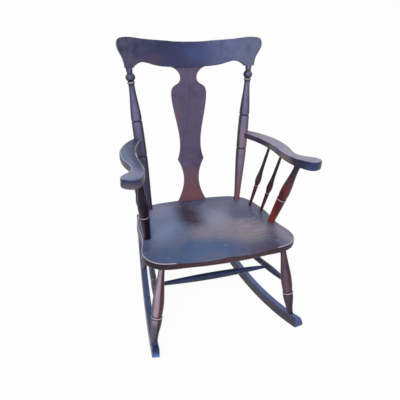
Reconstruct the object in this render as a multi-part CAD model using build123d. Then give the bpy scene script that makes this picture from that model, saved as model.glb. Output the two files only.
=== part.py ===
from build123d import *
import math
import os

# Rocking chair with a yoke crest, a fiddle splat between two turned posts, S-shaped arms,
# a carved plank seat, four turned legs joined by an H of stretchers, and two curved rockers.
# Millimetres. +Z is up, the front faces -Y, X runs across the chair. The floor is z = 0.
# In the seat frame z = 0 is the rim of the plank, which leans back; its origin is over the
# middle of the plank. Floor places are measured from straight below that origin.

# ---- the whole chair ----
seat_height = 343.0  # floor to the seat's rim, straight up
seat_lean = 7.6  # degrees that the seat falls towards the back
glue_gap = 0.15  # all round a tenon in its socket
socket_slack = 1.0  # a socket is this much deeper than its tenon is long

# ---- seat plank ----
seat_thickness = 25.0
seat_front = 183.0  # front edge ahead of the seat's origin
seat_back = 215.0  # back edge behind it
seat_lobe_half = 264.0  # half width over the front lobes
seat_lobe_y = -110.0
seat_waist_half = 248.0  # half width at the waist behind the lobes
seat_waist_y = -28.0
seat_side_half = 244.0  # half width beside the arm spindles
seat_side_y = 60.0
seat_shoulder_half = 208.0  # half width where the sides turn into the back
seat_shoulder_y = 172.0
seat_corner_half = 235.0  # front corner of the lobes
seat_corner_y = -156.0
seat_edge_top_radius = 5.0
seat_edge_bottom_radius = 7.0
dish_depth = 8.0
dish_half_width = 196.0  # ridge line where the carved dish meets the flat rim
dish_back_y = 158.0
dish_middle_y = -32.0
pommel_height = 4.0  # raised middle of the front edge, between the thighs
pommel_half_width = 46.0

# ---- back posts (turned) ----
post_foot_x = 172.5
post_foot_y = 175.0
post_lean = 13.2  # degrees back from square to the seat
post_rise = 495.0  # seat rim to the underside of the crest, measured up the lean
post_groove_heights = (198.0, 321.0)  # turned grooves below and above the arm
post_foot_radius = 10.5
post_body_radius = 18.8
post_ball_radius = 16.6
post_neck_radius = 11.2  # between the ball and the crest
post_seat_tenon = 18.0
post_crest_tenon = 42.0
post_crest_tenon_radius = 9.0

# ---- crest rail ----
crest_half_width = 258.0
crest_overhang = 39.5  # from the top of a post out to the end of the crest
crest_middle_top = 85.0  # above the post tops
crest_end_top = 97.5  # above the post tops
crest_middle_drop = 1.0  # underside of the middle below the post tops
crest_thickness = 23.0
crest_bow_radius = 660.0  # curve of the crest in plan, hollow side forward
crest_foot_half = 14.0  # half width of the flat that sits on a post
crest_arch_inset = 39.5  # from the top of a post in to the highest place of the arch
crest_arch_rise = 17.0
crest_corner_radius = 15.0
crest_edge_radius = 3.0

# ---- splat ----
splat_foot_y = 205.0
splat_thickness = 9.0
splat_foot_half = 55.0
splat_ankle_half = 28.5
splat_knee_half = 50.0
splat_waist_half = 39.5
splat_chest_half = 65.0
splat_neck_half = 30.0
splat_head_half = 60.0
splat_seat_tongue = 14.0
splat_crest_tongue = 16.0
splat_edge_radius = 1.5

# ---- arms ----
arm_top_z = 255.0  # lowest place of the arm's top, from the seat rim
arm_low_y = 170.0  # where that lowest place lies
arm_thickness = 22.0  # there
arm_top_bow_radius = 2250.0  # the arm climbs gently towards the hand
arm_bottom_bow_radius = 4500.0  # flatter, so that the hand is thicker than the rest
arm_edge_radius = 5.0
arm_outer_x = 291.0  # outer edge at its widest
arm_width = 51.0
hand_tip_x = 326.0
hand_front_y = -130.0

# ---- arm posts and arm spindles (turned) ----
arm_post_foot = (226.0, -13.5)
arm_post_head = (264.0, -67.5)
arm_post_foot_radius = 12.0
arm_post_belly_radius = 16.8
arm_post_head_radius = 11.2  # where it meets the arm
arm_post_tenon_radius = 8.3  # in the arm
spindle_feet = {"rear": (201.0, 115.0), "front": (222.0, 62.0)}
spindle_heads = {"rear": (259.0, 126.0), "front": (260.0, 37.0)}
spindle_foot_radius = 4.8
spindle_belly_radius = 9.2
spindle_head_radius = 4.6
arm_tenon = 16.0
arm_seat_tenon = 17.0

# ---- legs (turned); heads in the seat frame, feet on the floor plan ----
leg_heads = {"front": (210.5, -142.0), "rear": (152.0, 142.0)}
leg_feet = {"front": (247.0, -234.5), "rear": (188.0, 160.5)}
leg_head_radius = 9.8
leg_belly_radius = 18.8
leg_foot_radius = 10.8
leg_seat_tenon = 17.0
leg_tenon_radius = 7.5  # in the rocker
leg_rocker_tenon = 21.0

# ---- stretchers (turned) ----
side_stretcher_share = {"front": 0.51, "rear": 0.64}  # of the way down each leg
side_stretcher_belly_radius = 11.5
side_stretcher_end_radius = 7.5
side_stretcher_tenon = 10.0
cross_stretcher_share = 0.30  # of the way back along the side stretchers
cross_stretcher_belly_radius = 12.8
cross_stretcher_end_radius = 6.2
cross_stretcher_tenon = 8.0

# ---- rockers ----
rocker_radius = 930.0  # of the sole
rocker_depth = 37.0
rocker_width = 23.0
rocker_middle_y = 90.0  # where the sole rests, on the floor plan
rocker_nose_y = -292.0
rocker_tail_y = 438.0
rocker_end_radius = 20.0
rocker_worn_half = 30.0  # half length of the flat worn where the chair comes to rest
rocker_edge_radius = 3.0

# ---- fasteners ----
peg_radius = 3.0
pin_radius = 2.5
pin_length = 17.0
screw_shank_radius = 2.1
screw_head_radius = 4.2
screw_head_height = 2.4
screw_length = 52.0
screw_slot_width = 0.9
fastener_gap = 0.1
fastener_recess = 0.3  # pegs and pins stop this far below the surface

sides = {"left": -1, "right": 1}
ends = ("front", "rear")


# ---- frames ----
def chair_shift():
    """Puts y = 0 under the middle of the rockers, the longest pieces of the chair."""
    return -0.5 * (rocker_nose_y + rocker_tail_y)


def seat_frame():
    return Location((0, chair_shift(), seat_height), (-seat_lean, 0, 0))


def seat_point(x, y, z=0.0):
    return (seat_frame() * Location((x, y, z))).position


def for_side(shape, side):
    return shape if sides[side] > 0 else mirror(shape, about=Plane.YZ)


# ---- outlines ----
def face_of(edges):
    """Flat face inside a closed run of edges."""
    return Face(Wire(edges))


def with_mirror(edges):
    return edges + [edge.mirror(Plane.YZ) for edge in edges]


def slab(face, thickness):
    """Plank with the face in the middle of its thickness."""
    normal = face.normal_at() * thickness
    return Part() + Solid.extrude(face.moved(Location(normal * -0.5)), normal)


def long_edges(shape, length):
    return [edge for edge in shape.edges() if edge.length > length]


# ---- turning ----
def lathe(runs):
    """Turn a solid about Z from runs of (height, radius): two points make a straight,
    three an arc and more a smooth curve."""
    edges = []
    for run in runs:
        points = [(radius, height) for height, radius in run]
        if len(points) == 2:
            edges.append(Line(*points))
        elif len(points) == 3:
            edges.append(ThreePointArc(*points))
        else:
            edges.append(Spline(*points))
    low, low_radius = runs[0][0]
    high, high_radius = runs[-1][-1]
    edges.append(Line((high_radius, high), (0, high)))
    edges.append(Line((0, high), (0, low)))
    edges.append(Line((0, low), (low_radius, low)))
    return revolve(Plane.XZ * face_of(edges), Axis.Z)


def along(shape, foot, head):
    return Plane(origin=foot, z_dir=head - foot).location * shape


def rod(radius, foot, head, before=0.0, after=0.0):
    """Round rod from foot to head, carried on past either of them."""
    length = (head - foot).length + before + after
    return along(Pos(0, 0, length / 2 - before) * Cylinder(radius, length), foot, head)


def socket(radius, foot, head, depth):
    """Cutter for a blind socket that takes the rod from foot to head below its foot."""
    return rod(radius + glue_gap, foot, head, before=depth + socket_slack)


# ---- rockers ----
def rocker_turn():
    """Toe-in of a rocker, in degrees."""
    (front_x, front_y), (rear_x, rear_y) = leg_feet["front"], leg_feet["rear"]
    return math.degrees(math.atan2(front_x - rear_x, rear_y - front_y))


def rocker_plane():
    """Upright plane in the middle of the right rocker: x runs back along it, y is up."""
    turn = math.radians(rocker_turn())
    front_x, front_y = leg_feet["front"]
    x = front_x - (rocker_middle_y - front_y) * math.tan(turn)
    return Plane(
        origin=(x, rocker_middle_y + chair_shift(), 0),
        x_dir=(-math.sin(turn), math.cos(turn), 0),
        z_dir=(math.cos(turn), math.sin(turn), 0),
    )


def rocker_reach(y):
    """Distance along the rocker from its resting place to a place y on the floor plan."""
    return (y - rocker_middle_y) / math.cos(math.radians(rocker_turn()))


def rocker_point(y, depth):
    """Place in the middle of the right rocker, a depth above its sole."""
    reach = rocker_reach(y)
    return rocker_plane().from_local_coords(Vector(reach, arc_height(reach, depth), 0))


def sole_centre():
    return math.sqrt(rocker_radius**2 - rocker_worn_half**2)


def arc_height(reach, depth):
    """Height above the floor of an arc that lies a depth above the sole."""
    return sole_centre() - math.sqrt((rocker_radius - depth) ** 2 - reach**2)


def rocker_blank(grown=0.0):
    nose = rocker_reach(rocker_nose_y)
    tail = rocker_reach(rocker_tail_y)
    low, high = -grown, rocker_depth + grown
    blunt = 0.55 * rocker_end_radius
    sole = ThreePointArc(*((u, arc_height(u, low)) for u in (nose + blunt, 0, tail - blunt)))
    crown = rocker_end_radius
    top = ThreePointArc(*((u, arc_height(u, high)) for u in (tail - crown, 0, nose + crown)))
    belly = 0.42 * rocker_depth
    tail_end = Spline(sole @ 1, (tail, arc_height(tail, belly)), top @ 0)
    nose_end = Spline(top @ 1, (nose, arc_height(nose, belly)), sole @ 0)
    side = face_of([sole, tail_end, top, nose_end])
    return slab(rocker_plane() * side, rocker_width + 2 * grown)


def make_rocker():
    rocker = rocker_blank()
    worn_slab = Box(4 * rocker_radius, 4 * rocker_radius, rocker_radius)
    rocker -= Pos(0, 0, -rocker_radius / 2) * worn_slab
    rocker = fillet(long_edges(rocker, 3 * rocker_depth), rocker_edge_radius)
    for end in ends:
        foot, head = leg_foot(end), leg_head(end)
        rocker -= socket(leg_tenon_radius, foot, head, leg_rocker_tenon)
        rocker -= peg(end, fastener_gap)
    return rocker


# ---- legs ----
def leg_head(end):
    x, y = leg_heads[end]
    return seat_point(x, y, -seat_thickness)


def leg_foot(end):
    return rocker_point(leg_feet[end][1], rocker_depth)


def make_leg(end):
    foot, head = leg_foot(end), leg_head(end)
    length = (head - foot).length
    ring = 0.33 * length
    belly = 0.52 * length
    runs = [
        [(-0.4 * leg_foot_radius, leg_foot_radius), (0.04 * length, leg_foot_radius)],
        [
            (0.04 * length, leg_foot_radius),
            (0.13 * length, 1.19 * leg_foot_radius),
            (0.22 * length, 0.88 * leg_belly_radius),
            (ring - 4.0, 0.95 * leg_belly_radius),
        ],
        [(ring - 4.0, 0.95 * leg_belly_radius), (ring - 4.0, 0.88 * leg_belly_radius)],
        [
            (ring - 4.0, 0.88 * leg_belly_radius),
            (ring, 0.99 * leg_belly_radius),
            (ring + 4.0, 0.86 * leg_belly_radius),
        ],
        [
            (ring + 4.0, 0.86 * leg_belly_radius),
            (0.41 * length, 0.96 * leg_belly_radius),
            (belly, leg_belly_radius),
            (0.76 * length, 0.73 * leg_belly_radius),
            (length, leg_head_radius),
        ],
        [(length, leg_head_radius), (length + leg_seat_tenon, leg_head_radius)],
    ]
    leg = along(lathe(runs), foot, head)
    leg -= rocker_blank(glue_gap)
    leg += rod(leg_tenon_radius, foot, head, before=leg_rocker_tenon, after=leg_foot_radius)
    return leg - side_stretcher_socket(end) - peg(end, fastener_gap)


# ---- stretchers ----
def stretcher_joint(end):
    """Place on the axis of the right leg where the side stretcher meets it."""
    foot, head = leg_foot(end), leg_head(end)
    return head + (foot - head) * side_stretcher_share[end]


def side_stretcher_ends():
    """Where the side stretcher enters the surface of the front and the rear leg."""
    front, rear = stretcher_joint("front"), stretcher_joint("rear")
    step = (rear - front).normalized() * leg_belly_radius
    return front + step, rear - step


def side_stretcher_socket(end):
    front, rear = side_stretcher_ends()
    mouth, far = (front, rear) if end == "front" else (rear, front)
    return socket(side_stretcher_end_radius, mouth, far, side_stretcher_tenon)


def cross_stretcher_joint():
    front, rear = side_stretcher_ends()
    return front + (rear - front) * cross_stretcher_share


def make_side_stretcher():
    front, rear = side_stretcher_ends()
    length = (rear - front).length
    middle = cross_stretcher_share * length
    ring = middle + 1.9 * side_stretcher_belly_radius
    end_radius, belly_radius = side_stretcher_end_radius, side_stretcher_belly_radius
    runs = [
        [(-side_stretcher_tenon, end_radius), (0, end_radius)],
        [
            (0, end_radius),
            (0.5 * middle, 0.93 * belly_radius),
            (middle, belly_radius),
            (ring - 3.0, 0.95 * belly_radius),
        ],
        [(ring - 3.0, 0.95 * belly_radius), (ring - 3.0, 0.8 * belly_radius)],
        [
            (ring - 3.0, 0.8 * belly_radius),
            (ring, 0.97 * belly_radius),
            (ring + 3.0, 0.8 * belly_radius),
        ],
        [(ring + 3.0, 0.8 * belly_radius), (ring + 3.0, 0.92 * belly_radius)],
        [
            (ring + 3.0, 0.92 * belly_radius),
            (0.5 * (ring + length), 0.88 * belly_radius),
            (0.8 * length, 0.8 * belly_radius),
            (length, end_radius),
        ],
        [(length, end_radius), (length + side_stretcher_tenon, end_radius)],
    ]
    stretcher = along(lathe(runs), front, rear)
    return stretcher - cross_stretcher_socket()


def cross_stretcher_mouth():
    joint = cross_stretcher_joint()
    return joint - Vector(0.86 * side_stretcher_belly_radius, 0, 0)


def cross_stretcher_socket():
    mouth = cross_stretcher_mouth()
    inside = mouth - Vector(2 * side_stretcher_belly_radius, 0, 0)
    return socket(cross_stretcher_end_radius, mouth, inside, cross_stretcher_tenon)


def make_cross_stretcher():
    mouth = cross_stretcher_mouth()
    reach = mouth.X + cross_stretcher_tenon
    end = mouth.X - side_stretcher_belly_radius
    end_radius, belly_radius = cross_stretcher_end_radius, cross_stretcher_belly_radius
    runs = [
        [(-reach, end_radius), (-end, end_radius)],
        [
            (-end, end_radius),
            (-0.55 * end, 0.83 * belly_radius),
            (0, belly_radius),
            (0.55 * end, 0.83 * belly_radius),
            (end, end_radius),
        ],
        [(end, end_radius), (reach, end_radius)],
    ]
    middle = Vector(0, mouth.Y, mouth.Z)
    return along(lathe(runs), middle, middle + Vector(1, 0, 0))


# ---- seat ----
def seat_outline():
    side = [
        (0, seat_back),
        (0.44 * seat_shoulder_half, seat_back - 4.0),
        (0.76 * seat_shoulder_half, seat_back - 13.0),
        (seat_shoulder_half, seat_shoulder_y),
        (0.94 * seat_side_half, 0.5 * (seat_shoulder_y + seat_side_y) + 8.0),
        (seat_side_half, seat_side_y),
        (seat_waist_half, seat_waist_y),
        (seat_lobe_half, seat_lobe_y),
        (seat_corner_half, seat_corner_y),
        (0.56 * seat_lobe_half, 8.0 - seat_front),
        (0, -seat_front),
    ]
    return face_of(with_mirror([Spline(*side, tangents=[(1, 0), (-1, 0)])]))


def dish_level(x, y):
    """Height of the carved seat: a blunt bowl that runs out over the front, with a pommel."""
    reach = dish_back_y - dish_middle_y
    share = (x / dish_half_width) ** 4 + ((y - dish_middle_y) / reach) ** 4
    forward = max(0.0, (dish_middle_y - y) / (seat_front + dish_middle_y))
    pommel = pommel_height * forward**2 * math.exp(-((x / pommel_half_width) ** 2))
    return dish_depth * (share - 1.0) * 0.5 * (1.0 + math.tanh(3.0 - 2.0 * share)) + pommel


def make_seat():
    seat = Pos(0, 0, -seat_thickness / 2) * slab(seat_outline(), seat_thickness)
    seat = fillet(seat.edges().group_by(Axis.Z)[-1], seat_edge_top_radius)
    seat = fillet(seat.edges().group_by(Axis.Z)[0], seat_edge_bottom_radius)
    seat -= dish_cutter()
    seat = seat_frame() * seat
    for end in ends:
        head, foot = leg_head(end), leg_foot(end)
        seat -= both_sides(socket(leg_head_radius, head, foot, leg_seat_tenon))
    post_foot, post_head = post_ends()
    seat -= both_sides(socket(post_foot_radius, post_foot, post_head, post_seat_tenon))
    for foot, head, radius, _ in arm_rods():
        seat -= both_sides(socket(radius, foot, head, arm_seat_tenon))
    return seat - splat_slab(glue_gap, socket_slack)


def dish_cutter():
    span, steps = 1.45 * dish_half_width, 28
    front, back = -1.25 * seat_front, dish_back_y + 40.0
    rows = []
    for row in range(steps + 1):
        y = front + (back - front) * row / steps
        xs = (span * (2 * column / steps - 1) for column in range(steps + 1))
        rows.append([Vector(x, y, dish_level(x, y)) for x in xs])
    floor = Face.make_surface_from_array_of_points(rows, tol=0.05)
    return Solid.extrude(floor, Vector(0, 0, 3 * seat_thickness))


def both_sides(shape):
    return shape + mirror(shape, about=Plane.YZ)


# ---- back posts; the back frame leans with them, its origin between their feet ----
def back_frame():
    return seat_frame() * Location((0, post_foot_y, 0), (-post_lean, 0, 0))


def post_top_x():
    """Where the axis of the right post meets the underside of the crest."""
    return crest_half_width - crest_overhang


def post_ends():
    foot = (back_frame() * Location((post_foot_x, 0, 0))).position
    head = (back_frame() * Location((post_top_x(), 0, post_rise))).position
    return foot, head


def above_post():
    """Block over the shoulder of a post, from just below the underside of the crest."""
    side = 2 * crest_end_top
    middle = post_rise - glue_gap + side / 2
    return back_frame() * Pos(0, 0, middle) * Box(3 * crest_half_width, side, side)


def make_post():
    foot, head = post_ends()
    length = (head - foot).length
    low, high = post_groove_heights
    body, ball, waist = post_body_radius, post_ball_radius, 0.55 * post_body_radius
    collar = length - 50.0
    runs = [
        [(-post_seat_tenon, post_foot_radius), (0, post_foot_radius)],
        [
            (0, post_foot_radius),
            (0.33 * low, 1.26 * post_foot_radius),
            (0.75 * low, 0.93 * body),
            (low - 2.5, body),
        ],
        [(low - 2.5, body), (low, body - 2.2), (low + 2.5, body)],
        [(low + 2.5, body), (0.5 * (low + high), 1.02 * body), (high - 2.5, 0.98 * body)],
        [(high - 2.5, 0.98 * body), (high, body - 2.4), (high + 2.5, 0.98 * body)],
        [
            (high + 2.5, 0.98 * body),
            (high + 14.0, 0.97 * body),
            (0.5 * (high + collar) + 8.0, 0.72 * body),
            (collar - 6.0, waist),
        ],
        [(collar - 6.0, waist), (collar - 3.0, 1.05 * waist), (collar, 1.25 * waist)],
        [(collar, 1.25 * waist), (collar + 2.5, 1.32 * waist), (collar + 5.0, 1.22 * waist)],
        [(collar + 5.0, 1.22 * waist), (collar + 8.0, 0.98 * waist)],
        [(collar + 8.0, 0.98 * waist), (collar + 20.0, ball), (collar + 32.0, 0.98 * waist)],
        [(collar + 32.0, 0.98 * waist), (collar + 35.0, 0.9 * waist)],
        [(collar + 35.0, 0.9 * waist), (collar + 42.0, post_neck_radius)],
        [(collar + 42.0, post_neck_radius), (length + post_neck_radius, post_neck_radius)],
    ]
    post = along(lathe(runs), foot, head) - above_post()
    tip = head + (head - foot).normalized() * post_crest_tenon
    post += rod(post_crest_tenon_radius, head, tip, before=post_neck_radius)
    return post - arm_screw(fastener_gap) - crest_pin(fastener_gap)


# ---- crest rail ----
def crest_bow(radius):
    """Disc in plan whose edge runs through the post tops when it has the bow's radius."""
    centre_y = -math.sqrt(crest_bow_radius**2 - post_top_x() ** 2)
    return Pos(0, centre_y, post_rise) * Cylinder(radius, 3 * crest_end_top)


def crest_sag():
    return crest_bow_radius - math.sqrt(crest_bow_radius**2 - post_top_x() ** 2)


def crest_outline():
    inner, outer = post_top_x() - crest_foot_half, post_top_x() + crest_foot_half
    arch_x = post_top_x() - crest_arch_inset
    end_low = 0.28 * crest_end_top
    under = [
        (0, -crest_middle_drop),
        (splat_head_half, -crest_middle_drop + 1.5),
        (0.72 * arch_x, 0.55 * crest_arch_rise),
        (arch_x, crest_arch_rise),
        (inner, 0),
    ]
    over = [
        (outer, 0),
        (outer + 6.0, end_low),
        (crest_half_width, crest_end_top - 1.7 * crest_corner_radius),
        (
            crest_half_width - 0.32 * crest_corner_radius,
            crest_end_top - 0.4 * crest_corner_radius,
        ),
        (crest_half_width - 1.4 * crest_corner_radius, crest_end_top),
        (0.68 * crest_half_width, 0.5 * crest_end_top + 0.54 * crest_middle_top),
        (0.3 * crest_half_width, crest_middle_top + 3.0),
        (0, crest_middle_top),
    ]
    edges = [
        Spline(*under, tangents=[(1, 0), (0.75, -1)]),
        Line((inner, 0), (outer, 0)),
        Spline(*over, tangents=[(0.25, 1), (-1, 0)]),
    ]
    return face_of(with_mirror(edges))


def make_crest():
    crest = slab(Plane.XZ * Pos(0, post_rise) * crest_outline(), 4 * crest_sag())
    half = crest_thickness / 2
    crest &= crest_bow(crest_bow_radius + half) - crest_bow(crest_bow_radius - half)
    crest = fillet(long_edges(crest, 1.5 * crest_thickness), crest_edge_radius)
    crest = back_frame() * crest
    foot, head = post_ends()
    crest -= both_sides(socket(post_crest_tenon_radius, head, foot, post_crest_tenon))
    return crest - splat_slab(glue_gap, socket_slack) - both_sides(crest_pin(fastener_gap))


def crest_pin(grown=0.0):
    """Round pin driven in from the back of the crest through the tenon of the post."""
    foot, head = post_ends()
    middle = head + (head - foot).normalized() * post_crest_tenon * 0.5
    backwards = (back_frame() * Location((0, 1, 0))).position - back_frame().position
    mouth = middle + backwards * (crest_thickness / 2 - fastener_recess)
    run_out = pin_length if grown else 0.0
    return rod(pin_radius + grown, mouth - backwards * (pin_length + grown), mouth, after=run_out)


# ---- splat ----
def splat_head():
    """Middle of the crest's underside, in the seat frame's Y and Z."""
    lean = math.radians(post_lean)
    up, back = post_rise - crest_middle_drop, crest_sag()
    y = post_foot_y + back * math.cos(lean) + up * math.sin(lean)
    z = up * math.cos(lean) - back * math.sin(lean)
    return y, z


def splat_frame():
    y, z = splat_head()
    lean = math.degrees(math.atan2(y - splat_foot_y, z))
    return seat_frame() * Location((0, splat_foot_y, 0), (-lean, 0, 0))


def splat_length():
    y, z = splat_head()
    return math.hypot(y - splat_foot_y, z)


def splat_outline(tongue):
    """The fiddle from the seat up: foot, ankle and knee, then waist, chest, neck and head."""
    length = splat_length()
    low, high = -splat_seat_tongue - tongue, length + splat_crest_tongue + tongue
    leg = [
        (splat_foot_half, 0),
        (0.66 * splat_foot_half, 0.083 * length),
        (splat_ankle_half, 0.17 * length),
        (0.71 * splat_knee_half, 0.26 * length),
        (splat_knee_half, 0.325 * length),
    ]
    body = [
        (splat_knee_half, 0.325 * length),
        (splat_waist_half, 0.42 * length),
        (0.5 * (splat_waist_half + splat_chest_half) - 2.5, 0.61 * length),
        (splat_chest_half, 0.79 * length),
        (0.97 * splat_chest_half, 0.845 * length),
        (0.9 * splat_chest_half, 0.862 * length),
        (1.12 * splat_neck_half, 0.9 * length),
        (splat_neck_half, 0.928 * length),
        (1.13 * splat_neck_half, 0.957 * length),
        (splat_head_half, length),
    ]
    edges = [
        Line((0, low), (splat_foot_half, low)),
        Line((splat_foot_half, low), (splat_foot_half, 0)),
        Spline(*leg),
        Spline(*body),
        Line((splat_head_half, length), (splat_head_half, high)),
        Line((splat_head_half, high), (0, high)),
    ]
    return face_of(with_mirror(edges))


def splat_slab(grown=0.0, tongue=0.0):
    """Splat plank in place, or the cutter for its slots when it is grown."""
    plank = slab(Plane.XZ * splat_outline(tongue), splat_thickness + 2 * grown)
    if grown:
        low = Box(2 * (splat_foot_half + grown), splat_thickness + 2 * grown, 2 * splat_seat_tongue)
        high = Box(2 * (splat_head_half + grown), splat_thickness + 2 * grown, 2 * splat_crest_tongue)
        plank += Pos(0, 0, -tongue) * low + Pos(0, 0, splat_length() + tongue) * high
    return splat_frame() * plank


def make_splat():
    return fillet(long_edges(splat_slab(), 2.5 * splat_thickness), splat_edge_radius)


# ---- arms ----
def arm_bow(radius, lowest):
    """Round bar across the chair whose lowest line touches the given height."""
    middle = seat_frame() * Location((0, arm_low_y, lowest + radius), (0, 90, 0))
    return middle * Cylinder(radius, 3 * hand_tip_x)


def arm_bottom():
    return arm_top_z - arm_thickness


def arm_under(place):
    """Place on the underside of the arm over a place on the seat's plan."""
    x, y = place
    drop = math.sqrt(arm_bottom_bow_radius**2 - (y - arm_low_y) ** 2)
    return seat_point(x, y, arm_bottom() + arm_bottom_bow_radius - drop)


def post_at_arm():
    """Place on the axis of the right post, half way up the tail of the arm."""
    foot, head = post_ends()
    rise = (arm_top_z + arm_bottom()) / 2 / math.cos(math.radians(post_lean))
    return foot + (head - foot) * (rise / post_rise)


def tail_place():
    """The same place on the seat's plan."""
    place = (seat_frame().inverse() * Location(post_at_arm())).position
    return place.X, place.Y


def arm_outline():
    """The S of the right arm: outer side, round the hand, then back along the inner side."""
    tail_x, tail_y = tail_place()
    inner_x = arm_outer_x - arm_width
    curve = [
        (tail_x + 9.0, tail_y + 6.0),
        (arm_outer_x - 41.0, tail_y - 33.0),
        (arm_outer_x - 21.0, 168.0),
        (arm_outer_x - 8.0, 138.0),
        (arm_outer_x, 86.0),
        (arm_outer_x - 5.0, 24.0),
        (arm_outer_x - 12.0, -20.0),
        (hand_tip_x - 33.0, hand_front_y + 76.0),
        (hand_tip_x - 6.0, hand_front_y + 48.0),
        (hand_tip_x - 1.5, hand_front_y + 24.0),
        (hand_tip_x - 21.0, hand_front_y + 3.0),
        (hand_tip_x - 43.0, hand_front_y + 2.0),
        (inner_x + 18.0, hand_front_y + 34.0),
        (inner_x + 3.0, hand_front_y + 78.0),
        (inner_x - 1.0, 6.0),
        (inner_x, 70.0),
        (inner_x - 4.0, 112.0),
        (inner_x - 15.0, 152.0),
        (tail_x - 6.0, tail_y - 12.0),
    ]
    return face_of([Spline(*curve), Line(curve[-1], curve[0])])


def make_arm():
    arm = seat_frame() * Pos(0, 0, arm_top_z) * slab(arm_outline(), 6 * arm_thickness)
    under = arm_bow(arm_bottom_bow_radius, arm_bottom())
    arm &= under - arm_bow(arm_top_bow_radius, arm_top_z)
    arm = seat_frame().inverse() * arm
    arm = fillet(arm.edges() - arm.edges().filter_by(Axis.Z), arm_edge_radius)
    arm = seat_frame() * arm
    foot, head = post_ends()
    arm -= rod(1.02 * post_body_radius + glue_gap, foot, head)
    for low, high, _, radius in arm_rods():
        arm -= socket(radius, high, low, arm_tenon)
    return arm - arm_screw(fastener_gap)


def arm_screw(grown=0.0):
    """Slotted screw through the back post into the tail of the right arm."""
    middle = post_at_arm()
    tail_x, tail_y = tail_place()
    aim = seat_point(tail_x + 38.0, tail_y - 38.0, arm_top_z - arm_thickness / 2)
    inwards = (aim - middle).normalized()
    head = middle - inwards * (0.93 * post_body_radius)
    shank = rod(screw_shank_radius + grown, head + inwards * screw_length, head, before=grown)
    cap = rod(screw_head_radius + grown, head, head + inwards * screw_head_height)
    if grown:
        return shank + cap + rod(screw_head_radius + grown, head - inwards * screw_length, head)
    slot = Box(screw_slot_width, 3 * screw_head_radius, screw_head_height)
    return shank + cap - Plane(origin=head, z_dir=inwards).location * slot


# ---- arm posts and spindles ----
def arm_rods():
    """Foot, head and radii at both ends of what stands between the seat and the right arm."""
    rods = [(arm_post_foot, arm_post_head, arm_post_foot_radius, arm_post_tenon_radius)]
    for end in ends:
        rods.append((spindle_feet[end], spindle_heads[end], spindle_foot_radius, spindle_head_radius))
    return [(seat_point(*foot), arm_under(head), low, high) for foot, head, low, high in rods]


def make_arm_post():
    foot, head, foot_radius, tenon_radius = arm_rods()[0]
    length = (head - foot).length
    ring, belly = 0.42 * length, arm_post_belly_radius
    runs = [
        [(-arm_seat_tenon, foot_radius), (0, foot_radius)],
        [(0, foot_radius), (0.2 * length, 1.2 * foot_radius), (ring - 3.5, 0.97 * belly)],
        [(ring - 3.5, 0.97 * belly), (ring - 3.5, 0.88 * belly)],
        [(ring - 3.5, 0.88 * belly), (ring, 1.02 * belly), (ring + 3.5, 0.88 * belly)],
        [
            (ring + 3.5, 0.88 * belly),
            (ring + 20.0, belly),
            (0.72 * length, 0.84 * belly),
            (length, arm_post_head_radius),
        ],
        [(length, arm_post_head_radius), (length + belly, arm_post_head_radius)],
    ]
    post = along(lathe(runs), foot, head)
    post -= arm_bow(arm_bottom_bow_radius, arm_bottom() - glue_gap)
    tip = head + (head - foot).normalized() * arm_tenon
    return post + rod(tenon_radius, head, tip, before=arm_post_head_radius)


def make_spindle(end):
    foot, head, foot_radius, head_radius = arm_rods()[1 + ends.index(end)]
    length = (head - foot).length
    ring, belly = 0.34 * length, spindle_belly_radius
    runs = [
        [(-arm_seat_tenon, foot_radius), (0, foot_radius)],
        [(0, foot_radius), (0.16 * length, 1.3 * foot_radius), (ring - 2.5, 0.82 * belly)],
        [(ring - 2.5, 0.82 * belly), (ring - 2.5, 0.7 * belly)],
        [(ring - 2.5, 0.7 * belly), (ring, 0.86 * belly), (ring + 2.5, 0.72 * belly)],
        [
            (ring + 2.5, 0.72 * belly),
            (ring + 9.0, 0.98 * belly),
            (0.55 * length, 0.86 * belly),
            (0.78 * length, 0.62 * belly),
            (length, head_radius),
        ],
        [(length, head_radius), (length + arm_tenon, head_radius)],
    ]
    return along(lathe(runs), foot, head)


# ---- pegs through the rockers ----
def peg(end, grown=0.0):
    foot, head = leg_foot(end), leg_head(end)
    middle = foot - (head - foot).normalized() * leg_rocker_tenon * 0.5
    outwards = rocker_plane().z_dir
    half = outwards * (rocker_width / 2 - fastener_recess)
    run_out = rocker_width if grown else 0.0
    return rod(peg_radius + grown, middle - half, middle + half, before=run_out, after=run_out)


# ---- the set of pieces ----
def pair(name, make, *choice):
    shape = make(*choice)
    return {name.format(side=side): for_side(shape, side) for side in sides}


def make_pieces():
    pieces = {
        "seat": make_seat(),
        "crest_rail": make_crest(),
        "back_splat": make_splat(),
        "cross_stretcher": make_cross_stretcher(),
        "arm_screws": group(arm_screw()),
        "crest_pins": group(crest_pin()),
        "rocker_pegs": group(*(peg(end) for end in ends)),
    }
    pieces |= pair("back_post_{side}", make_post)
    pieces |= pair("arm_{side}", make_arm)
    pieces |= pair("arm_post_{side}", make_arm_post)
    pieces |= pair("side_stretcher_{side}", make_side_stretcher)
    pieces |= pair("rocker_{side}", make_rocker)
    for end in ends:
        pieces |= pair("leg_" + end + "_{side}", make_leg, end)
        pieces |= pair("arm_spindle_" + end + "_{side}", make_spindle, end)
    return pieces


def group(*shapes):
    solids = []
    for shape in shapes:
        for side in sides:
            solids += for_side(shape, side).solids()
    return Compound(children=solids)


os.makedirs("parts", exist_ok=True)
for node, solid in make_pieces().items():
    export_step(solid, f"parts/{node}.step")
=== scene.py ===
import math

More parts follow.
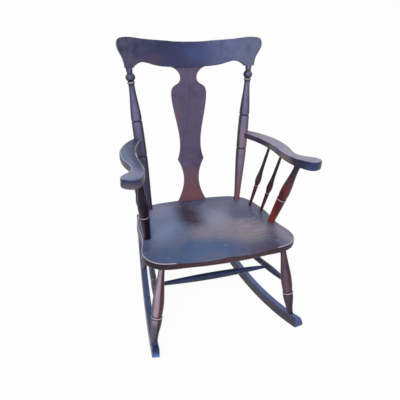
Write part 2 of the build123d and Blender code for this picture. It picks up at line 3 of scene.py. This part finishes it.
import bpy
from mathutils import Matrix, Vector

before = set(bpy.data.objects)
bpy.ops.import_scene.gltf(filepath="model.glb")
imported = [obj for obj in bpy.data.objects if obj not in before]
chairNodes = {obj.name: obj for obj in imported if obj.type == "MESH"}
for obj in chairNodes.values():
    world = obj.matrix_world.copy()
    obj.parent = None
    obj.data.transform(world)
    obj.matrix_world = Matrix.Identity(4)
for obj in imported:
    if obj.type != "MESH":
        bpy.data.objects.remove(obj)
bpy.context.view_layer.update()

print("chair loaded:", len(chairNodes), "pieces")


# a colour as it is read on a screen, 0 to 255, made linear
def screen(red, green, blue):
    shares = [part / 255 for part in (red, green, blue)]
    linear = [((s + 0.055) / 1.055) ** 2.4 if s > 0.04 else s / 12.92 for s in shares]
    return (*linear, 1.0)


# small helpers that lay shader nodes
def nodeMaker(tree):
    def put(kind, inputs, **settings):
        node = tree.nodes.new("ShaderNode" + kind)
        for key, value in settings.items():
            setattr(node, key, value)
        for key, value in inputs.items():
            if isinstance(value, bpy.types.NodeSocket):
                tree.links.new(value, node.inputs[key])
            else:
                node.inputs[key].default_value = value
        return node

    return put


def calc(put, operation, *values):
    return put("Math", dict(enumerate(values)), operation=operation).outputs[0]


def times(put, first, *others):
    for other in others:
        first = calc(put, "MULTIPLY", first, other)
    return first


# two values in given shares
def blend(put, first, firstShare, second, secondShare):
    return calc(put, "ADD", times(put, first, firstShare), times(put, second, secondShare))


# 0 below low, 1 above high, smooth between; falls where low is the larger
def ease(put, value, low, high):
    settings = {"Value": value, "From Min": low, "From Max": high}
    return put("MapRange", settings, interpolation_type="SMOOTHSTEP").outputs[0]


def cloud(put, vector, scale, detail=3.0, roughness=0.55):
    settings = {"Vector": vector, "Scale": scale, "Detail": detail, "Roughness": roughness}
    return put("TexNoise", settings).outputs[0]


def stretch(put, vector, scales):
    return put("VectorMath", {0: vector, 1: scales}, operation="MULTIPLY").outputs[0]


# 1 where the surface looks that way, -1 where it looks away
def facing(put, normal, direction):
    toward = Vector(direction).normalized()
    return put("VectorMath", {0: normal, 1: toward}, operation="DOT_PRODUCT").outputs["Value"]


def tone(put, share, first, second):
    return put("Mix", {0: share, 6: first, 7: second}, data_type="RGBA").outputs[2]


# 0 at start, 1 at finish, straight between
def along(put, place, start, finish):
    run = Vector(finish) - Vector(start)
    offset = put("VectorMath", {0: place, 1: start}, operation="SUBTRACT").outputs[0]
    step = run / run.length_squared
    return put("VectorMath", {0: offset, 1: step}, operation="DOT_PRODUCT").outputs["Value"]


# 1 at the middle, 0 past the radii, with a ragged rim from a slow and a quick noise
def zone(put, place, middle, radii, slow, quick):
    offset = put("VectorMath", {0: place, 1: middle}, operation="SUBTRACT").outputs[0]
    shares = stretch(put, offset, [1 / radius for radius in radii])
    distance = put("VectorMath", {0: shares}, operation="LENGTH").outputs["Value"]
    ragged = blend(put, slow, 0.7, quick, 0.3)
    distance = calc(put, "ADD", distance, calc(put, "SUBTRACT", ragged, 0.5))
    return ease(put, distance, 1.0, 0.15)


# old varnish over stained wood: every piece starts from these values
varnishLook = {
    "film": screen(26, 16, 26),  # where the finish is thick and dark
    "warm": screen(78, 38, 42),  # stain that shows where it is thin
    "skySheen": screen(96, 102, 134),  # painted reflection of a blue sky on faces that look up
    "worn": screen(176, 160, 170),  # rubbed edges and rings, and a painted highlight along rounded arrises
    "rub": screen(128, 98, 98),  # patches rubbed thin by hands
    "skySheenShare": 0.8,
    "rubShare": 0.0,
    "edgeShare": 0.75,
    "roughness": 0.36,
    "shine": 0.3,
    "skyFrom": (-0.25, -0.55, 0.8),
    "skySpread": (0.45, 0.98),  # how squarely a surface has to look there to carry the painted sky sheen
    "heart": (0.03, 0.014, 0.0),  # from the piece's own line to the middle of the tree
    "ringSpacing": 0.005,
    "tints": [],  # (start, finish, colour, share): grows from start to finish
    "skySheenTints": [],  # the same, for the painted sky sheen alone
    "sheenZones": [],  # (middle, radii, colour, share): soft clouds in the painted sky sheen, partly painted reflection
    "sideZones": [],  # the same, on what doesn't look up
    "inkedEdges": [],  # the same, where an arris is dark instead of pale
    "edgeGaps": 1.0,  # 0 for a pale arris line without breaks
    "rings": [],  # (height along the piece, half width, "pale" or "dark")
    "scuffs": [],  # (turn in degrees, middle, radii, share): short scratches in one place
    "face": None,  # flat pieces: the way their broad face looks
}


# the wood's own patterns: scales across, across and along the grain, or one for all
woodPattern = {
    "fibres": (320, 320, 9),
    "pores": (1500, 1500, 55),
    "poreShares": (0.58, 0.7),
    "ringsAlong": 0.12,  # how slowly the growth rings change along the grain
    "ringWobble": 9.0,
    "fibreShare": 0.78,
    "ringShare": 0.22,
    "thin": 11.0,  # large clouds where the finish is thin
    "mottle": 34.0,
    "fine": 170.0,
    "scuffs": (24, 430, 24),
    "streakRange": (0.34, 0.7),  # from thick finish to bare stain
    "skySheenRange": (0.12, 0.62),
    "rubRange": (0.5, 0.66),
    "poreInk": 0.35,
    "speckRange": (1.12, 1.35),
    "speckShare": 0.12,
    "arrisOuter": (0.985, 0.93),  # how far a surface has turned from the broad face
    "arrisInner": (0.66, 0.82),
    "inkOuter": (0.92, 0.75),
    "inkInner": (0.0, 0.3),
    "breakRange": (0.52, 0.78),
    "scuffRange": (0.62, 0.68),
    "darkRing": screen(14, 9, 16),
    "darkRingShare": 0.8,
    "bump": 0.35,
    "relief": 0.0006,  # metres
    "glossTint": (0.72, 0.8, 1.0, 1.0),
    "coat": 0.06,
    "coatRoughness": 0.16,
}


def varnish(name, changes):
    look = varnishLook | changes
    material = bpy.data.materials.new(name)
    material.use_nodes = True
    tree = material.node_tree
    tree.nodes.clear()
    put = nodeMaker(tree)
    place = put("TexCoord", {}).outputs["Object"]
    normal = put("NewGeometry", {}).outputs["Normal"]

    # the piece's own frame, with its third axis along the grain
    start, finish = Vector(look["grain"][0]), Vector(look["grain"][1])
    turn = (finish - start).normalized().to_track_quat("Z", "Y").to_euler()
    settings = {"Vector": place, "Location": start, "Rotation": turn}
    local = put("Mapping", settings, vector_type="TEXTURE").outputs[0]
    height = put("SeparateXYZ", {0: local}).outputs[2]

    # grain: fine fibres, growth rings round the heart of the tree and short open pores
    fibres = cloud(put, stretch(put, local, woodPattern["fibres"]), 1.0, 5.0, 0.65)
    lengthened = (1, 1, woodPattern["ringsAlong"])
    settings = {"Vector": local, "Location": look["heart"], "Scale": lengthened}
    slow = put("Mapping", settings, vector_type="POINT").outputs[0]
    # at scale 1 the node's rings are 2 pi / 20 apart
    settings = {
        "Vector": slow,
        "Scale": 2 * math.pi / (20 * look["ringSpacing"]),
        "Distortion": woodPattern["ringWobble"],
        "Detail": 3.0,
        "Detail Scale": 0.35,
    }
    waves = {"wave_type": "RINGS", "rings_direction": "Z", "wave_profile": "SAW"}
    growth = put("TexWave", settings, **waves).outputs[1]
    pores = cloud(put, stretch(put, local, woodPattern["pores"]), 1.0, 2.0)
    pores = ease(put, pores, *woodPattern["poreShares"])
    grain = blend(put, fibres, woodPattern["fibreShare"], growth, woodPattern["ringShare"])
    thin = cloud(put, place, woodPattern["thin"])
    mottle = cloud(put, place, woodPattern["mottle"])
    fine = cloud(put, place, woodPattern["fine"])

    # stain that shows through the finish in streaks
    streaks = blend(put, grain, 0.4, thin, 0.6)
    bared = ease(put, streaks, *woodPattern["streakRange"])
    colour = tone(put, bared, look["film"], look["warm"])
    for first, last, shade, share in look["tints"]:
        reach = ease(put, along(put, place, first, last), 0.0, 1.0)
        colour = tone(put, times(put, reach, share), colour, shade)

    # painted sky reflection on what looks up, thinner along the grain's streaks
    upward = ease(put, facing(put, normal, look["skyFrom"]), *look["skySpread"])
    unevenness = blend(put, streaks, 0.7, mottle, 0.3)
    unevenness = ease(put, unevenness, *woodPattern["skySheenRange"])
    skySheenMask = times(put, upward, unevenness, look["skySheenShare"])
    colour = tone(put, skySheenMask, colour, look["skySheen"])
    for first, last, shade, share in look["skySheenTints"]:
        reach = ease(put, along(put, place, first, last), 0.0, 1.0)
        colour = tone(put, times(put, reach, share, skySheenMask), colour, shade)
    # clouds in the painted sky sheen, partly painted reflection and partly the finish's own
    # tone
    for middle, radii, shade, share in look["sheenZones"]:
        reach = zone(put, place, middle, radii, thin, mottle)
        colour = tone(put, times(put, reach, share, upward), colour, shade)
    sideways = calc(put, "SUBTRACT", 1.0, upward)
    for middle, radii, shade, share in look["sideZones"]:
        reach = zone(put, place, middle, radii, thin, mottle)
        colour = tone(put, times(put, reach, share, sideways), colour, shade)
    if look["rubShare"]:
        rubbed = ease(put, thin, *woodPattern["rubRange"])
        rubbed = times(put, rubbed, look["rubShare"], upward)
        colour = tone(put, rubbed, colour, look["rub"])
    colour = tone(put, times(put, pores, woodPattern["poreInk"]), colour, look["film"])

    # bare lines: the arrises of a board, which also carry a painted edge highlight, the rings
    # of a turning, scratches
    specks = ease(put, calc(put, "ADD", mottle, fine), *woodPattern["speckRange"])
    wearAndEdgeHighlightMask = times(put, specks, woodPattern["speckShare"])
    if look["face"]:
        turned = calc(put, "ABSOLUTE", facing(put, normal, look["face"]))
        outer = ease(put, turned, *woodPattern["arrisOuter"])
        inner = ease(put, turned, *woodPattern["arrisInner"])
        # a pale band where the arris rounds off: rubbed wear and a painted edge highlight
        band = times(put, outer, inner)
        breaks = calc(put, "ADD", mottle, times(put, fine, 0.4))
        unbroken = ease(put, breaks, *woodPattern["breakRange"])
        gaps = times(put, calc(put, "SUBTRACT", 1.0, unbroken), look["edgeGaps"])
        band = times(put, band, calc(put, "SUBTRACT", 1.0, gaps), look["edgeShare"])
        inner = ease(put, turned, *woodPattern["inkInner"])
        outer = ease(put, turned, *woodPattern["inkOuter"])
        low = times(put, inner, outer)
        for middle, radii, shade, share in look["inkedEdges"]:
            reach = zone(put, place, middle, radii, thin, mottle)
            colour = tone(put, times(put, reach, share, low), colour, shade)
            band = times(put, band, calc(put, "SUBTRACT", 1.0, reach))
        wearAndEdgeHighlightMask = calc(put, "MAXIMUM", wearAndEdgeHighlightMask, band)
    for middle, half, kind in look["rings"]:
        away = calc(put, "ABSOLUTE", calc(put, "SUBTRACT", height, middle))
        ring = ease(put, away, half, 0.45 * half)
        if kind == "dark":
            strength = times(put, ring, woodPattern["darkRingShare"])
            colour = tone(put, strength, colour, woodPattern["darkRing"])
        else:
            broken = calc(put, "ADD", 0.35, times(put, mottle, 0.75))
            wearAndEdgeHighlightMask = calc(put, "MAXIMUM", wearAndEdgeHighlightMask, times(put, ring, broken))
    for degrees, middle, radii, share in look["scuffs"]:
        swing = (0, 0, math.radians(degrees))
        settings = {"Vector": place, "Rotation": swing, "Scale": woodPattern["scuffs"]}
        crossed = put("Mapping", settings, vector_type="POINT").outputs[0]
        line = cloud(put, crossed, 1.0, 2.0, 0.4)
        line = ease(put, line, *woodPattern["scuffRange"])
        where = zone(put, place, middle, radii, thin, mottle)
        wearAndEdgeHighlightMask = calc(put, "MAXIMUM", wearAndEdgeHighlightMask, times(put, line, where, share, upward))
    colour = tone(put, wearAndEdgeHighlightMask, colour, look["worn"])

    # gloss and relief
    roughness = calc(put, "ADD", look["roughness"] - 0.09, times(put, mottle, 0.2))
    roughness = calc(put, "ADD", roughness, times(put, wearAndEdgeHighlightMask, 0.2))
    relief = blend(put, grain, 0.5, pores, -0.5)
    relief = calc(put, "ADD", relief, times(put, mottle, 0.9))
    relief = calc(put, "SUBTRACT", relief, times(put, wearAndEdgeHighlightMask, 0.4))
    settings = {
        "Height": relief,
        "Strength": woodPattern["bump"],
        "Distance": woodPattern["relief"],
    }
    bumped = put("Bump", settings).outputs[0]
    settings = {
        "Base Color": colour,
        "Roughness": roughness,
        "Normal": bumped,
        "Specular IOR Level": look["shine"],
        "Specular Tint": woodPattern["glossTint"],
        "Coat Weight": woodPattern["coat"],
        "Coat Roughness": woodPattern["coatRoughness"],
    }
    shader = put("BsdfPrincipled", settings)
    put("OutputMaterial", {"Surface": shader.outputs[0]})
    return material


def dress(nodeName, material):
    for slot in chairNodes[nodeName].material_slots:
        slot.material = material


def mirrored(point, side):
    return (point[0] * side, point[1], point[2])


sides = {"left": -1, "right": 1}


# varnishes the left and the right piece of a kind, each with its own changes
def dressPair(kind, piece, start, finish, heart):
    for sideName, side in sides.items():
        ownGrain = (mirrored(start, side), mirrored(finish, side))
        ownHeart = mirrored(heart, side)
        look = piece | piece.get(sideName, {}) | {"grain": ownGrain, "heart": ownHeart}
        dress(f"{kind}_{sideName}", varnish(f"{kind}_{sideName}_varnish", look))


# turned pieces, each with the foot, head and rings of the right-hand one
postPiece = {
    "foot": (0.1725, 0.10046, 0.31986),
    "head": (0.2185, 0.27624, 0.78259),
    "rings": [
        (0.198, 0.0034, "dark"),
        (0.321, 0.0034, "dark"),
        (0.4415, 0.0022, "dark"),
        (0.4496, 0.0026, "pale"),
        (0.4555, 0.0026, "dark"),
        (0.4808, 0.0026, "dark"),
    ],
    "film": screen(24, 18, 30),
    "warm": screen(62, 38, 50),
    "skySheen": screen(112, 110, 150),
    "skySheenShare": 0.9,
    # the painted sky sheen on the posts is a painted highlight strip on the side that looks
    # front and up
    "skyFrom": (-0.25, -0.85, 0.45),
    "skySpread": (0.6, 1.0),
    "roughness": 0.3,
    "left": {
        "tints": [((-0.19, 0.17, 0.52), (-0.18, 0.13, 0.42), screen(30, 22, 38), 0.7)],
        "skySheenTints": [
            ((-0.2, 0.2, 0.62), (-0.19, 0.16, 0.52), screen(56, 50, 76), 0.85),
            ((-0.205, 0.23, 0.67), (-0.215, 0.26, 0.73), screen(58, 60, 82), 0.9),
        ],
    },
    "right": {
        "warm": screen(84, 44, 50),
        "skySheen": screen(112, 114, 150),
        "skySheenTints": [
            ((0.205, 0.21, 0.62), (0.197, 0.18, 0.54), screen(146, 122, 136), 0.9),
            ((0.185, 0.14, 0.45), (0.175, 0.11, 0.35), screen(124, 68, 64), 1.0),
        ],
    },
}
armPostPiece = {
    "foot": (0.226, -0.08638, 0.34479),
    "head": (0.264, -0.10826, 0.5891),
    "rings": [(0.1086, 0.0018, "dark"), (0.0997, 0.0018, "dark"), (0.1042, 0.0028, "pale")],
    "film": screen(60, 20, 26),
    "warm": screen(132, 46, 44),
    "skySheen": screen(118, 60, 66),
    "skySheenShare": 0.45,
    "tints": [
        ((0.248, -0.1, 0.48), (0.26, -0.105, 0.56), screen(32, 28, 44), 0.95),
        ((0.236, -0.09, 0.41), (0.226, -0.087, 0.35), screen(150, 70, 48), 0.55),
    ],
    "skySheenTints": [((0.248, -0.1, 0.48), (0.26, -0.105, 0.56), screen(42, 36, 54), 0.95)],
    "left": {
        "film": screen(14, 8, 24),
        "warm": screen(44, 16, 30),
        "skySheen": screen(34, 26, 54),
        "skySheenShare": 0.4,
        "shine": 0.18,
        "tints": [],
        "skySheenTints": [],
    },
}
frontSpindlePiece = {
    "foot": (0.222, -0.01154, 0.3348),
    "head": (0.26, -0.00525, 0.57101),
    "rings": [(0.0848, 0.0014, "dark"), (0.0779, 0.0014, "dark"), (0.0814, 0.0022, "pale")],
    "film": screen(38, 18, 24),
    "warm": screen(100, 42, 44),
    "skySheen": screen(60, 42, 52),
    "skySheenShare": 0.5,
    "tints": [((0.0, 0.0, 0.42), (0.0, 0.0, 0.46), screen(18, 18, 20), 0.9)],
    "skySheenTints": [((0.0, 0.0, 0.42), (0.0, 0.0, 0.46), screen(28, 27, 30), 0.95)],
}
rearSpindlePiece = frontSpindlePiece | {
    "foot": (0.201, 0.04099, 0.32779),
    "head": (0.259, 0.08274, 0.5575),
}
frontLegPiece = {
    "foot": (0.247, -0.3075, 0.09897),
    "head": (0.2105, -0.21706, 0.337),
    "rings": [(0.0899, 0.0018, "dark"), (0.0799, 0.0018, "dark"), (0.0849, 0.0034, "pale")],
    "film": screen(30, 16, 26),
    "warm": screen(80, 38, 48),
    "skySheen": screen(130, 110, 130),
    "skySheenShare": 0.8,
    "tints": [((0.0, -0.275, 0.18), (0.0, -0.29, 0.145), screen(14, 12, 22), 0.95)],
    "skySheenTints": [((0.0, -0.275, 0.18), (0.0, -0.29, 0.145), screen(16, 16, 28), 0.97)],
    # the painted sky sheen on the legs is a narrow painted highlight strip down the front
    "skyFrom": (-0.55, -0.75, 0.35),
    "skySpread": (0.76, 1.0),
    "roughness": 0.3,
    "left": {"skySheen": screen(174, 154, 172)},
    "right": {"skySheen": screen(100, 80, 96)},
}
rearLegPiece = frontLegPiece | {
    "foot": (0.188, 0.0875, 0.03937),
    "head": (0.152, 0.06445, 0.29944),
    "rings": [(0.092, 0.0018, "dark"), (0.082, 0.0018, "dark"), (0.087, 0.0034, "pale")],
    "tints": [],
    "skySheenTints": [],
    "left": {},
    "right": {},
}
sideStretcherPiece = {
    "foot": (0.22626, -0.24512, 0.21125),
    "head": (0.17789, 0.06114, 0.13735),
    "rings": [(0.1138, 0.0016, "dark"), (0.1212, 0.0016, "dark"), (0.1175, 0.0024, "pale")],
    "film": screen(18, 20, 44),
    "warm": screen(48, 44, 66),
    "skySheen": screen(96, 102, 136),
}
pairsOfTurnings = {
    "back_post": postPiece,
    "arm_post": armPostPiece,
    "arm_spindle_front": frontSpindlePiece,
    "arm_spindle_rear": rearSpindlePiece,
    "leg_front": frontLegPiece,
    "leg_rear": rearLegPiece,
    "side_stretcher": sideStretcherPiece,
}
for kind, piece in pairsOfTurnings.items():
    dressPair(kind, piece, piece["foot"], piece["head"], (0.03, 0.014, 0.0))
crossPiece = {
    "grain": ((-0.19, -0.15324, 0.18908), (0.19, -0.15324, 0.18908)),
    "film": screen(28, 34, 60),
    "warm": screen(62, 66, 94),
    "skySheen": screen(44, 58, 104),
    "skySheenShare": 0.95,
    "skyFrom": (0.0, 0.1, 1.0),
    "skySpread": (0.3, 0.6),
}
dress("cross_stretcher", varnish("cross_stretcher_varnish", crossPiece))
print("turned pieces varnished")

# boards: seat, crest, splat, arms and rockers
seatPiece = {
    "grain": ((0.0, -0.3, 0.25), (0.0, 0.2, 0.18)),
    "heart": (0.02, 0.0, 0.0),
    "ringSpacing": 0.008,
    "film": screen(16, 12, 22),
    "warm": screen(38, 26, 34),
    "skySheen": screen(84, 90, 122),
    "shine": 0.22,
    # pale clouds are painted sky reflection; the dark band down the middle is a painted
    # reflection of the splat
    "sheenZones": [
        ((-0.16, -0.02, 0.336), (0.13, 0.2, 0.2), screen(112, 130, 168), 0.95),
        ((-0.15, 0.08, 0.323), (0.11, 0.08, 0.2), screen(132, 134, 168), 0.95),
        ((0.13, 0.06, 0.33), (0.12, 0.08, 0.2), screen(104, 100, 126), 0.8),
        ((0.05, -0.03, 0.337), (0.1, 0.14, 0.2), screen(140, 142, 168), 0.85),
        ((0.11, -0.11, 0.345), (0.14, 0.12, 0.2), screen(138, 128, 138), 0.9),
        ((-0.04, 0.03, 0.327), (0.07, 0.15, 0.2), screen(48, 34, 54), 0.9),
        ((-0.03, -0.09, 0.345), (0.09, 0.08, 0.2), screen(138, 130, 146), 0.7),
        ((-0.08, -0.2, 0.36), (0.22, 0.11, 0.2), screen(62, 90, 132), 0.98),
        ((0.14, -0.23, 0.364), (0.12, 0.05, 0.2), screen(70, 58, 86), 0.8),
        ((0.235, -0.17, 0.357), (0.04, 0.1, 0.2), screen(126, 120, 138), 0.85),
    ],
    "skySheenShare": 0.95,
    "rub": screen(128, 104, 106),
    "rubShare": 0.12,
    "sideZones": [((0.0, -0.28, 0.35), (0.32, 0.16, 0.08), screen(76, 46, 54), 0.75)],
    "scuffs": [
        (24, (0.15, -0.1, 0.35), (0.08, 0.1, 0.2), 0.8),
        (-48, (0.17, -0.05, 0.34), (0.07, 0.12, 0.2), 0.6),
        (88, (0.013, -0.14, 0.35), (0.014, 0.08, 0.2), 0.7),
        (12, (-0.02, -0.02, 0.34), (0.12, 0.12, 0.2), 0.25),
    ],
    "face": (0.0, 0.132, 0.991),
    "edgeShare": 1.0,
    "edgeGaps": 0.2,
    "worn": screen(196, 184, 200),
    "roughness": 0.34,
    "skyFrom": (0.0, 0.1, 1.0),
    "skySpread": (0.7, 0.93),
}
dress("seat", varnish("seat_plank_varnish", seatPiece))
crestPiece = {
    "grain": ((-0.3, 0.33, 0.78), (0.3, 0.33, 0.78)),
    "heart": (0.0, 0.05, 0.0),
    "ringSpacing": 0.008,
    "film": screen(26, 22, 40),
    "warm": screen(56, 42, 66),
    "skySheen": screen(52, 56, 92),
    # the painted sky sheen on the crest's front, brighter to the right and darker to the left
    "skySheenTints": [
        ((0.0, 0.3, 0.8), (0.15, 0.29, 0.82), screen(98, 108, 146), 0.95),
        ((0.15, 0.29, 0.8), (0.235, 0.27, 0.82), screen(54, 62, 88), 0.85),
        ((-0.16, 0.3, 0.8), (-0.24, 0.27, 0.85), screen(22, 28, 56), 0.9),
    ],
    "sheenZones": [
        ((-0.14, 0.29, 0.8), (0.07, 0.1, 0.03), screen(88, 62, 86), 0.5),
        ((0.03, 0.29, 0.82), (0.09, 0.1, 0.05), screen(58, 74, 124), 0.7),
    ],
    "skySheenShare": 0.9,
    "skyFrom": (0.0, -0.93, 0.36),
    "skySpread": (0.6, 0.9),
    "face": (0.0, 0.935, -0.355),
    "worn": screen(150, 142, 168),
    "edgeShare": 0.2,
}
dress("crest_rail", varnish("crest_rail_varnish", crestPiece))
splatPiece = {
    "grain": ((0.0, 0.129, 0.316), (0.0, 0.31, 0.76)),
    "heart": (0.03, 0.05, 0.0),
    "ringSpacing": 0.007,
    "film": screen(44, 34, 52),
    "warm": screen(96, 62, 76),
    "skySheen": screen(88, 82, 112),
    "tints": [((0.0, 0.165, 0.45), (0.0, 0.14, 0.38), screen(112, 62, 58), 0.7)],
    "skySheenTints": [((0.0, 0.17, 0.47), (0.0, 0.14, 0.38), screen(116, 76, 80), 0.95)],
    "sheenZones": [
        ((0.02, 0.26, 0.75), (0.06, 0.1, 0.05), screen(108, 84, 102), 0.5),
        ((-0.05, 0.21, 0.62), (0.02, 0.1, 0.12), screen(118, 80, 96), 0.6),
        ((0.0, 0.12, 0.34), (0.05, 0.1, 0.03), screen(126, 80, 80), 0.6),
    ],
    "skySheenShare": 0.85,
    "skyFrom": (0.0, -0.93, 0.36),
    "skySpread": (0.6, 0.9),
    "face": (0.0, 0.929, -0.371),
    "edgeShare": 0.2,
}
dress("back_splat", varnish("back_splat_varnish", splatPiece))
armPiece = {
    "start": (0.27, -0.22, 0.56),
    "finish": (0.22, 0.2, 0.56),
    "film": screen(24, 20, 44),
    "warm": screen(70, 54, 78),
    "skySheen": screen(96, 114, 156),
    "skySheenShare": 0.95,
    "rub": screen(136, 104, 108),
    "rubShare": 0.35,
    "face": (0.0, 0.0, 1.0),
    "worn": screen(178, 180, 208),
    "ringSpacing": 0.006,
    "skyFrom": (0.0, 0.0, 1.0),
    "skySpread": (0.6, 0.92),
    "left": {
        "skySheenTints": [((-0.275, 0.0, 0.6), (-0.25, 0.0, 0.6), screen(40, 42, 76), 0.95)],
        "sheenZones": [((-0.28, -0.12, 0.6), (0.06, 0.06, 0.1), screen(114, 116, 142), 0.7)],
        "sideZones": [((-0.29, -0.19, 0.58), (0.09, 0.06, 0.06), screen(138, 126, 122), 0.9)],
        "inkedEdges": [((-0.29, -0.19, 0.6), (0.12, 0.09, 0.08), screen(26, 34, 88), 0.95)],
    },
    "right": {
        "skySheen": screen(136, 134, 160),
        "sheenZones": [
            ((0.212, 0.009, 0.6), (0.03, 0.05, 0.1), screen(116, 98, 108), 0.85),
            ((0.2, 0.09, 0.6), (0.04, 0.06, 0.1), screen(92, 90, 112), 0.8),
            ((0.208, 0.17, 0.6), (0.06, 0.09, 0.1), screen(46, 42, 66), 0.95),
        ],
        "sideZones": [
            ((0.3, -0.17, 0.58), (0.07, 0.07, 0.06), screen(58, 82, 122), 0.95),
            ((0.235, -0.06, 0.58), (0.04, 0.06, 0.06), screen(124, 98, 98), 0.9),
            ((0.235, 0.03, 0.58), (0.04, 0.05, 0.06), screen(104, 94, 104), 0.8),
        ],
        "inkedEdges": [((0.29, -0.17, 0.6), (0.09, 0.08, 0.08), screen(26, 34, 92), 0.95)],
    },
}
rockerPiece = {
    "start": (0.241, -0.3, 0.02),
    "finish": (0.155, 0.35, 0.02),
    "film": screen(20, 14, 36),
    "warm": screen(50, 34, 58),
    "skySheen": screen(80, 96, 148),
    "skySheenShare": 0.95,
    "worn": screen(130, 140, 166),
    "edgeShare": 0.5,
    "skyFrom": (0.0, -0.1, 1.0),
    "skySpread": (0.55, 0.9),
    "left": {
        "face": (0.991, -0.131, 0.0),
        "skySheen": screen(74, 88, 128),
        "sheenZones": [((-0.256, -0.35, 0.12), (0.06, 0.04, 0.06), screen(16, 32, 80), 1.0)],
        "sideZones": [((-0.256, -0.366, 0.09), (0.04, 0.03, 0.05), screen(78, 106, 178), 0.95)],
    },
    "right": {
        "face": (0.991, 0.131, 0.0),
        "sideZones": [((0.256, -0.366, 0.09), (0.03, 0.02, 0.05), screen(76, 94, 150), 0.95)],
    },
}
for kind, piece in {"arm": armPiece, "rocker": rockerPiece}.items():
    dressPair(kind, piece, piece["start"], piece["finish"], (0.02, 0.05, 0.0))
print("boards varnished")

# pegs, pins and screws
pegPiece = {
    "grain": ((0.2, -0.3, 0.1), (0.3, -0.29, 0.1)),
    "film": screen(34, 22, 26),
    "warm": screen(104, 66, 54),
    "skySheen": screen(110, 92, 92),
    "skySheenShare": 0.4,
    "ringSpacing": 0.0016,
}
pegVarnish = varnish("peg_varnish", pegPiece)
dress("crest_pins", pegVarnish)
dress("rocker_pegs", pegVarnish)

screwLook = {
    "bare": screen(150, 146, 142),
    "rust": screen(88, 54, 40),
    "roughness": 0.42,
    "spots": 900.0,
    "brushing": (5200, 400, 400),
    "relief": 0.0002,  # metres
}


def screwSteel(look):
    material = bpy.data.materials.new("old_screw_steel")
    material.use_nodes = True
    tree = material.node_tree
    tree.nodes.clear()
    put = nodeMaker(tree)
    place = put("TexCoord", {}).outputs["Object"]
    spots = cloud(put, place, look["spots"], 4.0)
    brushed = cloud(put, stretch(put, place, look["brushing"]), 1.0, 2.0)
    rusty = ease(put, spots, 0.46, 0.62)
    colour = tone(put, rusty, look["bare"], look["rust"])
    roughness = calc(put, "ADD", look["roughness"], times(put, rusty, 0.35))
    metal = calc(put, "SUBTRACT", 1.0, times(put, rusty, 0.7))
    height = calc(put, "ADD", spots, times(put, brushed, 0.4))
    settings = {"Height": height, "Strength": 0.3, "Distance": look["relief"]}
    bumped = put("Bump", settings).outputs[0]
    settings = {
        "Base Color": colour,
        "Roughness": roughness,
        "Metallic": metal,
        "Normal": bumped,
    }
    shader = put("BsdfPrincipled", settings)
    put("OutputMaterial", {"Surface": shader.outputs[0]})
    return material


dress("arm_screws", screwSteel(screwLook))
print("fasteners finished")

# floor, light and camera
studio = {
    "floorColour": screen(246, 246, 246),
    "floorReach": 20.0,
    "floorLevel": -0.0003,  # just under the rockers
    "floorGlow": 0.94,  # share of the floor that stays white to the camera
    "ambient": 0.58,
    "keyPower": 66.0,
    "keyPlace": (-1.5, -2.1, 2.9),
    "keySize": 1.4,
    "fillPower": 16.0,
    "fillPlace": (1.6, 1.6, 2.4),
    "fillSize": 1.6,
    "aim": (0.0, 0.0, 0.45),
}


# 1 for rays that should see the plain white surroundings
def whiteRays(put):
    path = put("LightPath", {}).outputs
    seen = calc(put, "MAXIMUM", path["Is Camera Ray"], path["Is Glossy Ray"])
    return calc(put, "MAXIMUM", seen, path["Is Transmission Ray"])


reach, level = studio["floorReach"], studio["floorLevel"]
turns = [(-1, -1), (1, -1), (1, 1), (-1, 1)]
corners = [(reach * x, reach * y, level) for x, y in turns]
floorMesh = bpy.data.meshes.new("studio_floor")
floorMesh.from_pydata(corners, [], [(0, 1, 2, 3)])
floor = bpy.data.objects.new("studio_floor", floorMesh)
bpy.context.scene.collection.objects.link(floor)
floorMaterial = bpy.data.materials.new("pale_floor")
floorMaterial.use_nodes = True
floorMaterial.node_tree.nodes.clear()
put = nodeMaker(floorMaterial.node_tree)
matt = put("BsdfDiffuse", {"Color": studio["floorColour"]}).outputs[0]
white = put("Emission", {"Color": (1, 1, 1, 1), "Strength": 1.0}).outputs[0]
glow = calc(put, "MULTIPLY", whiteRays(put), studio["floorGlow"])
mixed = put("MixShader", {0: glow, 1: matt, 2: white}).outputs[0]
put("OutputMaterial", {"Surface": mixed})
floorMesh.materials.append(floorMaterial)

world = bpy.data.worlds.new("studio_world")
bpy.context.scene.world = world
world.use_nodes = True
world.node_tree.nodes.clear()
put = nodeMaker(world.node_tree)
soft = put("Background", {"Color": (1, 1, 1, 1), "Strength": studio["ambient"]}).outputs[0]
white = put("Background", {"Color": (1, 1, 1, 1), "Strength": 1.0}).outputs[0]
mixed = put("MixShader", {0: whiteRays(put), 1: soft, 2: white}).outputs[0]
put("OutputWorld", {"Surface": mixed})


def softBox(name, place, power, size):
    light = bpy.data.lights.new(name, "AREA")
    light.energy = power
    light.size = size
    holder = bpy.data.objects.new(name, light)
    holder.location = place
    toward = Vector(studio["aim"]) - Vector(place)
    holder.rotation_euler = toward.to_track_quat("-Z", "Y").to_euler()
    bpy.context.scene.collection.objects.link(holder)


softBox("key_softbox", studio["keyPlace"], studio["keyPower"], studio["keySize"])
softBox("fill_softbox", studio["fillPlace"], studio["fillPower"], studio["fillSize"])

view = {
    "place": (-0.52981, -1.22872, 1.35601),
    "turn": (54.3782, -5.6580, -18.4529),  # degrees
    "lens": 42.198,
    "sensor": 36.0,
}
camera = bpy.data.cameras.new("view")
camera.lens = view["lens"]
camera.sensor_width = view["sensor"]
cameraHolder = bpy.data.objects.new("view", camera)
cameraHolder.location = view["place"]
cameraHolder.rotation_euler = [math.radians(part) for part in view["turn"]]
bpy.context.scene.collection.objects.link(cameraHolder)
bpy.context.scene.camera = cameraHolder
bpy.context.scene.view_settings.view_transform = "Standard"
print("floor, light and camera placed")
